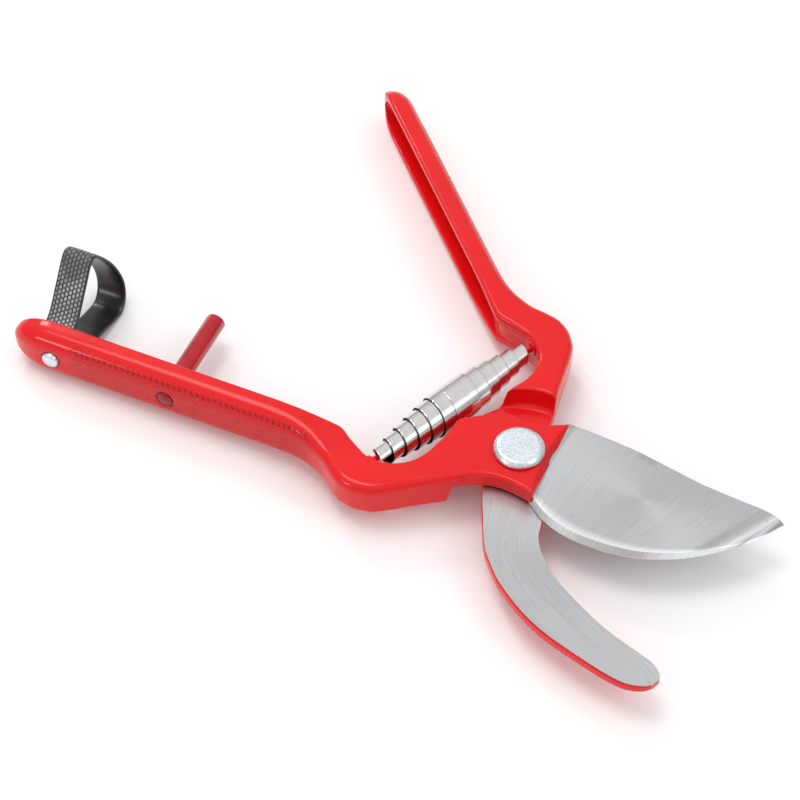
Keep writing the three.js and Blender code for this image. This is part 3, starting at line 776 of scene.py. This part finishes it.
def black_strap(look):
    """Coated strap: embossed basket weave whose high spots outside are lighter, partly
    rubbed wear and partly a painted sheen, and plain black with soft blotches inside."""
    finish, tree, shader = new_finish("embossed_black", Coat_Weight=0.25, Coat_Roughness=0.2)
    place, lay, cover = object_place(tree), lay_place(tree), mask_value(tree, "embossed")
    weave = use_group(tree, shared_group("basket_weave", weave_group),
                      {"Lay": lay, "Pitch": look.weave_pitch / MM, "Cover": cover})
    threads = weave.outputs["Threads"]
    use = signs_of_use(tree, Vector=place)
    black = tuple(look.strap)
    base = mixed(tree, ranged(tree, use.outputs["Blotch"], 0, 1), darker(black, 0.7), black)
    # High spots of the weave lightened to grey: partly rubbed wear, partly a painted sheen.
    wear_and_sheen = times(tree, ranged(tree, threads, 0, 1, 0.3, 0.95),
                   ranged(tree, use.outputs["Blotch"], 0.3, 1.0, 0.4, 0.6))
    tree.links.new(mixed(tree, wear_and_sheen, base, tuple(look.wear_and_sheen)), shader.inputs["Base Color"])
    tree.links.new(ranged(tree, threads, 0.3, 0.42, 0.0, 1.0), shader.inputs["Roughness"])
    bumped(tree, shader, threads, 0.14, 0.9)
    return finish


# ---- sizes and colours -------------------------------------------------------------------------


def colour(name, description, value):
    return bpy.props.FloatVectorProperty(name=name, description=description, default=value,
                                         size=4, min=0, max=1, subtype="COLOR")


def size(name, description, value):
    return bpy.props.FloatProperty(name=name, description=description, default=value,
                                   unit="LENGTH", subtype="DISTANCE")


class PrunerLook(bpy.types.PropertyGroup):
    """Colours and pattern sizes of the finishes."""

    paint: colour("Paint", "Gloss paint of both forgings", (0.8, 0.006, 0.009, 1))
    pin_paint: colour("Pin paint", "Thinner paint on the stop pin", (0.5, 0.008, 0.016, 1))
    steel: colour("Ground steel", "Blade and hook faces", (0.56, 0.565, 0.575, 1))
    zinc: colour("Zinc", "Bolt, nut, washers and rivet", (0.66, 0.72, 0.76, 1))
    spring: colour("Spring steel", "Polished spring strip", (0.82, 0.8, 0.79, 1))
    strap: colour("Strap", "Black coating of the strap", (0.016, 0.016, 0.018, 1))
    # Lighter high spots of the strap: partly rubbed wear, partly a painted sheen.
    wear_and_sheen: colour("Rubbed strap", "High spots of the strap's weave", (0.5, 0.52, 0.54, 1))
    floor: colour("Floor", "Studio floor", (0.97, 0.97, 0.97, 1))
    knurl_pitch: size("Knurl pitch", "Distance between the knurled ridges", 1.5 * MM)
    weave_pitch: size("Weave pitch", "Distance between the strap's threads", 1.1 * MM)


class PrunerSizes(bpy.types.PropertyGroup):
    """Sizes of the small pieces that the frame leaves open."""

    blade_bevel: size("Blade bevel", "Width of the ground bevel along the edge", 1.25 * MM)
    strip: size("Spring strip", "Thickness of the spring's strip", 0.4 * MM)
    strip_width: size("Strip width", "Width of the spring's strip", 8.6 * MM)
    turns: bpy.props.FloatProperty(name="Turns", description="Turns of the spring, end to end",
                                   default=11.5, min=4, max=20)
    strap_width: size("Strap width", "Width of the closing strap", 9.0 * MM)
    strap_thickness: size("Strap thickness", "Thickness of the closing strap", 1.0 * MM)


def shared_finish(name, build, *numbers):
    """The finish of a name, built the first time that it is asked for."""
    return bpy.data.materials.get(name) or build(bpy.context.scene.pruner_look, *numbers)


# ---- operators ---------------------------------------------------------------------------------


class PRUNER_OT_forgings(bpy.types.Operator):
    """Add the two painted forgings: channel handle, arm and head plate, and the hook's body"""

    bl_idname = "pruner.forgings"
    bl_label = "Painted forgings"

    def execute(self, context):
        """Each half is the smooth run through its stations.

        Its knurling fades in and out along the grip, and stops where the distance round the
        section passes its reach. Round the blade half's rivet and stop pin the back is sunk
        in by a constant depth, ramped at the rim, and painted shade darkens each well.
        """
        paint = shared_finish("gloss_paint", red_paint)
        halves = [
            ("blade_forging", head_stations(0.15) + plate_end_stations(), on_blade_half,
             "blade_half", "blade_handle"),
            ("hook_forging", head_stations(0.3) + hook_stations(), on_hook_half,
             "hook_half", "hook_handle"),
        ]
        for name, front, lift, body, node in halves:
            rows = smooth_through(handle_stations() + front, 7)
            points, lay = forged(rows)
            x = points[..., 0]
            ends = np.clip((x - KNURL_START) / 3, 0, 1) * np.clip((KNURL_END - x) / 5, 0, 1)
            cover = ends * np.clip((KNURL_REACH - np.abs(lay[..., 1])) / 0.4, 0, 1)
            shade = np.zeros_like(x)
            for place, reach in WELLS if body == "blade_half" else []:
                off = np.hypot(x - place, points[..., 2]) + 99 * (points[..., 1] > BACK + 1)
                points[..., 1] += WELL_DEPTH * np.clip((reach + 0.3 - off) / 0.6, 0, 1)
                # Painted shade: darkens the paint in the sunk wells round the rivet and the stop
                # pin.
                shade += np.clip((reach + 0.25 - off) / 0.35, 0, 1)
            piece = surface(name, lift(points), uv=lay, masks={"knurl": cover, "painted_well_shade": shade})
            fit_out(piece, body, "red_paint", paint, node)
        return {"FINISHED"}


class PRUNER_OT_blade(bpy.types.Operator):
    """Add the ground blade with its bevelled cutting edge"""

    bl_idname = "pruner.blade"
    bl_label = "Cutting blade"

    def execute(self, context):
        """The top face rises from its height at the tip in proportion to the blade's width.

        Towards the paint line it also sweeps up, as the square of the distance from where the
        sweep begins.
        """
        sizes = context.scene.pruner_sizes
        bevel = sizes.blade_bevel / MM
        rows = smooth_through(BLADE, 6)
        width = np.linalg.norm(rows[:, 0:2] - rows[:, 2:4], axis=1)
        past = rows[:, 0] - rows[0, 0]
        scoop = 1.6 * np.clip(1 - past / 3.2, 0, 1) ** 2
        top = TIP_TOP + TOP_GAIN * np.minimum(1, width / FULL_BLADE_WIDTH) + scoop
        rows = np.hstack([rows, top[:, None]])
        points, lay = slab(rows, bevel, 0.15, 0.3, 0.35, fall=1.4)
        # Where the bevel is, for its fresher grind and painted highlight along the cutting edge.
        ground = np.clip((bevel + 0.15 - lay[..., 1]) / 0.15, 0, 1) * (points[..., 2] > 0.2)
        piece = surface("blade_steel", on_blade_half(points), uv=lay, sharp=14,
                        masks={"bevel": ground})
        steel = shared_finish("blade_ground", ground_steel, "blade_ground", 8.0, 0.16, 0.34)
        fit_out(piece, "blade_half", "ground_steel", steel, "cutting_blade")
        return {"FINISHED"}


class PRUNER_OT_hook_face(bpy.types.Operator):
    """Add the bare ground face of the hook, from the land round the bolt to the tip"""

    bl_idname = "pruner.hook_face"
    bl_label = "Hook face"

    def execute(self, context):
        """A thin slab on the land's and the hook's plan, its edges set back by a little."""
        land = [(-4.6, 8.4, -3.0, -9.1, 5.2), (-2, 9.6, -1, -8.6, 3.6), (0.5, 10.1, 2, -7.9, 2.0)]
        rows = land + [(ix, iy, ox, oy, 0) for ix, iy, ox, oy, _ in HOOK]
        rows = smooth_through(rows, 6)
        inner, outer = rows[:, 0:2].copy(), rows[:, 2:4].copy()
        unit = (inner - outer) / np.linalg.norm(inner - outer, axis=1)[:, None]
        rows[:, 0:2], rows[:, 2:4] = inner - 0.25 * unit, outer + 0.1 * unit
        rows = np.hstack([rows, np.full((len(rows), 1), 0.5)])
        points, lay = slab(rows, 0.3, 0.12, 0.1, 0.1)
        piece = surface("hook_land", on_hook_half(points), uv=lay[..., ::-1], sharp=14)
        steel = shared_finish("hook_ground", ground_steel, "hook_ground", 5.5, 0.12, 0.36)
        fit_out(piece, "hook_half", "ground_steel", steel, "hook_blade")
        return {"FINISHED"}


class PRUNER_OT_fittings(bpy.types.Operator):
    """Add bolt, washer, nut, strap rivet and its washer, stop pin and spring seats"""

    bl_idname = "pruner.fittings"
    bl_label = "Pivot and small fittings"

    def execute(self, context):
        zinc = shared_finish("dull_zinc", zinc_plate)
        paint = shared_finish("gloss_paint", red_paint)
        pin = shared_finish("thin_paint", pin_paint)
        up = (0, 0, 1)

        def fit_zinc(piece, node):
            fit_out(piece, "blade_half", "zinc_plate", zinc, node)

        r, top = HEAD_RADIUS, HEAD_TOP
        under = top - 2.1
        bolt = [(0, 0), (3.3, 0), (4, 0.7), (4, under), (r - 0.3, under), (r, under + 0.35),
                (r, under + 1.0), (r - 0.25, under + 1.45), (r - 1.0, top - 0.12),
                (r - 1.35, top - 0.1), (r - 1.5, top), (0, top)]
        fit_zinc(turned("bolt", bolt, (0, 0, 0), up, in_frame, 72, 0.16), "pivot_bolt")
        washer = [(4.3, 3.95), (6.6, 3.95), (6.6, 4.85), (4.3, 4.85), (4.3, 3.95)]
        fit_zinc(turned("washer", washer, (0, 0, 0), up, in_frame, 64, 0.12), "pivot_washer")
        fit_zinc(self.nut(), "pivot_nut")

        back = (0, -1, 0)
        dome = [(0, -5.6), (2.0, -5.6), (2.2, -5.2), (1.5, -5.2), (1.5, -0.7), (2.5, -0.7),
                (2.45, 0.3), (2.2, 0.75), (1.6, 1.05), (0.8, 1.2), (0, 1.22)]
        piece = turned("rivet", dome, (STRAP_PLACE, BACK, 0), back, on_blade_half, 48, 0.12)
        fit_zinc(piece, "strap_rivet")
        ring = [(1.65, -0.3), (3, -0.3), (3, 0.3), (1.65, 0.3), (1.65, -0.3)]
        piece = turned("rivet_washer", ring, (STRAP_PLACE, FLOOR + 2.4, 0), back,
                       on_blade_half, 48, 0.1)
        fit_zinc(piece, "strap_rivet_washer")

        tip, foot = 12.7, FLOOR + 0.15
        rod = [(0, BACK - 0.6), (0.8, BACK - 0.52), (1.6, BACK - 0.25), (2.2, BACK + 0.2),
               (2.2, foot), (2.8, foot), (2.8, tip - 0.5), (2.6, tip - 0.12), (2.2, tip),
               (0, tip)]
        piece = turned("pin", rod, (STOP_PIN_PLACE, 0, 0), (0, 1, 0), on_blade_half, 48, 0.1)
        fit_out(piece, "blade_half", "pin_paint", pin, "stop_pin")

        lean = (math.sin(SEAT_LEAN), math.cos(SEAT_LEAN), 0)
        pip = [(0, -4.5), (1.5, -4.5), (1.5, -1.1), (2.4, -1.1), (2.4, -0.2), (1.2, -0.2),
               (0.9, 1.6), (0.5, 2), (0, 2)]
        seats = [("seat_blade_side", SEAT_RISE, on_blade_half, "blade_half"),
                 ("seat_hook_side", -SEAT_RISE, on_hook_half, "hook_half")]
        for name, rise, lift, body in seats:
            piece = turned(name, pip, (*SEAT_PLACE, rise), lean, lift, 40, 0.15)
            fit_out(piece, body, "red_paint", paint, "spring_" + name)
        return {"FINISHED"}

    def nut(self):
        """The nut's radius at an angle is that of a hexagon, held inside the chamfer's cone."""
        angle = np.linspace(0, 2 * math.pi, 72, endpoint=False)
        flat = 6.5 / np.cos((angle + math.pi / 6) % (math.pi / 3) - math.pi / 6)
        limit = np.array([6.7, 7.1, 7.6, 7.6, 7.6, 4.15, 4.15])
        height = np.array([0.6, 0.85, 1.3, 2.5, 3.8, 3.8, 0.9])
        radius = np.minimum(limit[:, None], flat[None])
        points = np.stack([radius * np.cos(angle), radius * np.sin(angle),
                           np.broadcast_to(height[:, None], radius.shape)], -1)
        return surface("nut", points, loop=True, sharp=24)


class PRUNER_OT_spring(bpy.types.Operator):
    """Add the volute spring: one strip coiled from a small ring to a large one and back"""

    bl_idname = "pruner.spring"
    bl_label = "Volute spring"

    def execute(self, context):
        """The strip's middle is a helix along Y whose radius falls from the middle to both
        ends; a rounded rectangle is carried along it."""
        sizes = context.scene.pruner_sizes
        strip, width = sizes.strip / MM, sizes.strip_width / MM
        turn = np.linspace(0, 1, int(sizes.turns * 60))
        reach = SPRING_HALF - width / 2
        along = reach * (2 * turn - 1)
        share = np.abs(2 * turn - 1)
        radius = 5.65 - 3.3 * share ** 1.25
        angle = 2 * math.pi * sizes.turns * turn + 0.6
        half, thin = width / 2, strip / 2
        side = np.array([(-half, -thin * 0.6), (-half, thin * 0.6), (-half + 0.12, thin),
                         (-half + 0.3, thin), (-half / 3, thin), (half / 3, thin),
                         (half - 0.3, thin), (half - 0.12, thin),
                         (half, thin * 0.6), (half, -thin * 0.6), (half - 0.12, -thin),
                         (half - 0.3, -thin), (0, -thin), (-half + 0.3, -thin),
                         (-half + 0.12, -thin)])
        y = along[:, None] + side[None, :, 0]
        r = radius[:, None] + side[None, :, 1]
        points = np.stack([SPRING_PLACE[0] + r * np.cos(angle)[:, None],
                           y, SPRING_PLACE[2] + r * np.sin(angle)[:, None]], -1)
        length = np.cumsum(radius) * (angle[1] - angle[0])
        lay = np.stack(np.broadcast_arrays(length[:, None], side[None, :, 0]), -1)
        # Painted shade: marks the strip's edges, where the gaps between coils are shaded, to be
        # near black.
        edge = np.clip((np.abs(side[:, 0]) - half + 0.1) / 0.05, 0, 1)
        piece = surface("spring_strip", points, uv=lay, masks={"rim": edge[None]}, sharp=50)
        steel = shared_finish("polished_strip", spring_steel)
        fit_out(piece, None, "spring_steel", steel, "volute_spring")
        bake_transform(piece)
        return {"FINISHED"}


class PRUNER_OT_strap(bpy.types.Operator):
    """Add the closing strap: one band doubled into a loop standing out of the handle"""

    bl_idname = "pruner.strap"
    bl_label = "Closing strap"

    def execute(self, context):
        """A flat rounded section is carried along the band's loop, slid along the handle in
        proportion to its height."""
        sizes = context.scene.pruner_sizes
        half, thin = sizes.strap_width / MM / 2, sizes.strap_thickness / MM / 2
        band = [(FLOOR + 1, 2.6), (FLOOR + 2.4, 3.9), (MOUTH, 4.3), (MOUTH + 4, 5.6), (0, 10.2),
                (6, 14.2), (8.6, 14.6), (10.8, 12.6), (14, 7), (15.3, 0.5), (13.6, -4.2),
                (10, -6.6), (5, -6.2), (0, -5.2), (MOUTH + 4, -4.5), (MOUTH, -4.3),
                (FLOOR + 2.4, -3.9), (FLOOR + 1, -2.6)]
        loop = closed_spline(band, 10)
        tangent = np.roll(loop, -1, 0) - np.roll(loop, 1, 0)
        tangent /= np.linalg.norm(tangent, axis=1)[:, None]
        outward = np.stack([-tangent[:, 1], tangent[:, 0]], -1)
        area = np.sum(loop[:, 0] * np.roll(loop[:, 1], -1) - np.roll(loop[:, 0], -1) * loop[:, 1])
        outward *= -np.sign(area)
        turn = np.linspace(0, 2 * math.pi, 32, endpoint=False)
        power = 0.28
        across = half * np.sign(np.cos(turn)) * np.abs(np.cos(turn)) ** power
        out = thin * np.sign(np.sin(turn)) * np.abs(np.sin(turn)) ** (power * 1.6)
        yz = loop[:, None] + outward[:, None] * out[None, :, None]
        x = STRAP_PLACE + across[None] + STRAP_SKEW * loop[:, None, 1]
        points = np.concatenate([x[..., None], yz], -1)
        length = np.cumsum(np.linalg.norm(np.diff(loop, axis=0, prepend=loop[:1]), axis=1))
        lay = np.stack(np.broadcast_arrays(length[:, None], across[None]), -1)
        inside_rim = np.clip((half - 0.35 - np.abs(across)) * 4, 0, 1)
        cover = np.clip(out / thin * 4 - 2.6, 0, 1) * inside_rim
        piece = surface("strap_band", on_blade_half(points), uv=lay, loop=True,
                        masks={"embossed": cover[None]}, sharp=60)
        leather = shared_finish("embossed_black", black_strap)
        fit_out(piece, "strap", "black_strap", leather, "closing_strap")
        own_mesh(piece)
        return {"FINISHED"}


class PRUNER_OT_stage(bpy.types.Operator):
    """Add the pale floor, the soft studio lights and the camera"""

    bl_idname = "pruner.stage"
    bl_label = "Stage"

    def execute(self, context):
        self.floor()
        self.lights()
        self.camera(context)
        context.scene.view_settings.view_transform = "Standard"
        return {"FINISHED"}

    def floor(self):
        """A plane that slopes from just under the bolt's end to just under both butts."""
        fall = 0.024
        grid = np.array([[(-2, -2), (-2, 2)], [(2, -2), (2, 2)]], float) / MM
        points = np.concatenate([grid, -fall * grid[..., :1] - 0.05], -1)
        floor = surface("floor", points, ring=False, capped=False)
        finish, tree, shader = new_finish("floor_paper", Roughness=0.7, Specular_IOR_Level=0.2)
        tone = tuple(bpy.context.scene.pruner_look.floor)
        dust = noise(tree, object_place(tree), 6.0)
        tree.links.new(mixed(tree, dust, darker(tone, 0.985), tone),
                       shader.inputs["Base Color"])
        floor.data.materials.append(finish)

    def lights(self):
        """White surroundings that darken towards the ground, and four lamps that face the
        pivot: a large key and fill, a low one and a small spark."""
        world = bpy.data.worlds.new("studio")
        bpy.context.scene.world = world
        world.use_nodes = True
        tree = world.node_tree
        place = add(tree, "ShaderNodeTexCoord").outputs["Generated"]
        height = add(tree, "ShaderNodeSeparateXYZ", {0: place}).outputs[2]
        share = ranged(tree, height, 0.0, 1.0, 0.05, 0.75)
        shade = mixed(tree, share, (0.5, 0.51, 0.52, 1), (1, 1, 1, 1))
        background = tree.nodes["Background"]
        tree.links.new(shade, background.inputs["Color"])
        background.inputs["Strength"].default_value = 0.86
        lamps = [("key", (-0.35, -0.05, 1.15), 0.5, 3.4), ("fill", (0.8, 0.3, 0.75), 0.5, 1.2),
                 ("low", (-0.2, -1.0, 0.5), 0.16, 0.9), ("spark", (-0.85, 0.25, 0.75), 0.14, 1.2)]
        for name, place, spread, power in lamps:
            lamp = bpy.data.lights.new(name, "AREA")
            lamp.size = spread
            lamp.energy = power
            made = bpy.data.objects.new(name, lamp)
            made.location = place
            made.rotation_euler = Vector(place).to_track_quat("Z", "Y").to_euler()
            bpy.context.scene.collection.objects.link(made)

    def camera(self, context):
        """A long lens that looks down on the open pruner from in front, on the hook's side."""
        data = bpy.data.cameras.new("camera")
        data.lens = 96.75
        data.sensor_width = 36.0
        camera = bpy.data.objects.new("camera", data)
        right = Vector((0.6788, 0.7343, 0.0)).normalized()
        back = Vector((0.4651, -0.4300, 0.7738)).normalized()
        up = back.cross(right).normalized()
        right = up.cross(back)
        turn = Matrix((right, up, back)).transposed().to_4x4()
        camera.matrix_world = Matrix.Translation(Vector((232.0, -256.7, 457.6)) * MM) @ turn
        data.clip_start, data.clip_end = 0.01, 20
        context.scene.collection.objects.link(camera)
        context.scene.camera = camera


STEPS = ["forgings", "blade", "hook_face", "fittings", "spring", "strap", "stage"]


class PRUNER_PT_panel(bpy.types.Panel):
    """The pruner's steps, sizes and colours."""

    bl_idname = "PRUNER_PT_panel"
    bl_label = "Bypass pruner"
    bl_space_type = "VIEW_3D"
    bl_region_type = "UI"
    bl_category = "Pruner"

    def draw(self, context):
        for step in STEPS:
            self.layout.operator("pruner." + step)
        for group in (context.scene.pruner_sizes, context.scene.pruner_look):
            for key in group.bl_rna.properties.keys():
                if key not in ("rna_type", "name"):
                    self.layout.prop(group, key)


CLASSES = [PrunerLook, PrunerSizes, PRUNER_OT_forgings, PRUNER_OT_blade, PRUNER_OT_hook_face,
           PRUNER_OT_fittings, PRUNER_OT_spring, PRUNER_OT_strap, PRUNER_OT_stage,
           PRUNER_PT_panel]


def register():
    for each in CLASSES:
        bpy.utils.register_class(each)
    bpy.types.Scene.pruner_look = bpy.props.PointerProperty(type=PrunerLook)
    bpy.types.Scene.pruner_sizes = bpy.props.PointerProperty(type=PrunerSizes)


def unregister():
    del bpy.types.Scene.pruner_sizes
    del bpy.types.Scene.pruner_look
    for each in reversed(CLASSES):
        bpy.utils.unregister_class(each)


def main():
    register()
    for step in STEPS:
        getattr(bpy.ops.pruner, step)()


if __name__ == "__main__":
    main()
